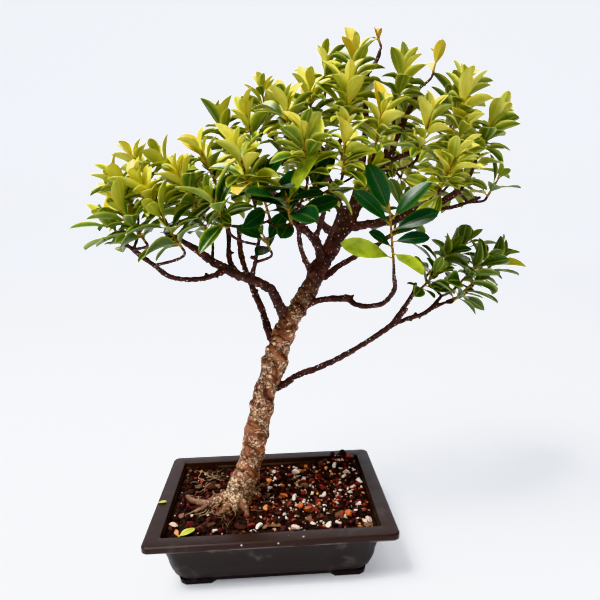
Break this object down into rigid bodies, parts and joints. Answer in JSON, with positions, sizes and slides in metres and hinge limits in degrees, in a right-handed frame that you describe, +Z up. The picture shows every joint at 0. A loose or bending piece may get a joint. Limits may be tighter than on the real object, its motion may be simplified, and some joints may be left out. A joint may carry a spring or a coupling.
{
  "type": "potted ficus bonsai",
  "caption": "Small bonsai tree with a slanting lumpy trunk, spreading branches and glossy leaves, growing in a shallow rectangular footed pot.",
  "frame": {"origin": "middle of the whole plant and pot seen from above, on the surface that the pot's feet stand on", "axes": "+Z up along the tree's height, +X to the right along the pot's length, towards the side that the trunk leans to, +Y from the pot's front to its back"},
  "size_m": [0.4578, 0.2746, 0.5625],
  "materials": {
    "pot_plastic": "brown moulded plastic, satin, lightly scuffed",
    "soil": "dark humus with red, orange and cream grit",
    "bark": "thin brown bark with pale dashes",
    "leaf_young": "glossy yellow-green leaf",
    "leaf_mature": "glossy mid-green leaf",
    "leaf_dark": "glossy deep green leaf"
  },
  "bodies": {
    "root": {"pot": "pot_plastic", "soil": "soil", "wood": "bark", "fallen_leaf": "leaf_young", "leaf_scrap": "leaf_young", "shoot_far_left_tip": "leaf_mature", "shoot_far_left_top": "leaf_young", "shoot_far_left_front": "leaf_mature", "shoot_left_crest": "leaf_young", "shoot_left_edge": "leaf_young", "shoot_left_shoulder": "leaf_young", "shoot_left_front": "leaf_mature", "shoot_left_peak": "leaf_young", "shoot_left_mid": "leaf_young", "shoot_left_under": "leaf_mature", "shoot_left_inner": "leaf_young", "shoot_left_low_front": "leaf_mature", "shoot_centre_left_peak": "leaf_young", "shoot_centre_left_front": "leaf_young", "shoot_centre_left": "leaf_young", "shoot_centre_left_top": "leaf_young", "shoot_centre_front": "leaf_young", "shoot_under_left_dark": "leaf_dark", "shoot_under_middle_dark": "leaf_dark", "shoot_under_right_dark": "leaf_dark", "shoot_twiggy_tip": "leaf_dark", "shoot_top_left": "leaf_young", "shoot_top_left_front": "leaf_young", "shoot_top_middle_front": "leaf_young", "shoot_mid_left_top": "leaf_young", "shoot_mid_left_front": "leaf_young", "shoot_mid_front": "leaf_young", "shoot_mid_right_front": "leaf_young", "shoot_mid_right_low": "leaf_young", "shoot_top_middle": "leaf_young", "shoot_top_bud": "leaf_young", "shoot_top_right_leaf": "leaf_young", "shoot_top_right": "leaf_young", "shoot_right_peak": "leaf_young", "shoot_far_right": "leaf_young", "shoot_right_front": "leaf_young", "shoot_right_mid": "leaf_young", "shoot_right_front_low": "leaf_young", "shoot_right_inner": "leaf_young", "shoot_far_right_low": "leaf_mature", "shoot_bow_dark": "leaf_dark", "shoot_low_right_upper": "leaf_mature", "shoot_low_right_front": "leaf_mature", "shoot_low_right_far": "leaf_mature", "shoot_low_right_back": "leaf_mature", "shoot_low_right_inner": "leaf_mature", "shoot_low_right_under": "leaf_mature", "shoot_back_left": "leaf_young", "shoot_back_left_low": "leaf_mature", "shoot_back_middle": "leaf_young", "shoot_back_top": "leaf_young", "shoot_back_right": "leaf_young", "shoot_back_right_low": "leaf_mature", "shoot_back_right_top": "leaf_young", "shoot_back_far_right": "leaf_young"}
  },
  "joints": []
}
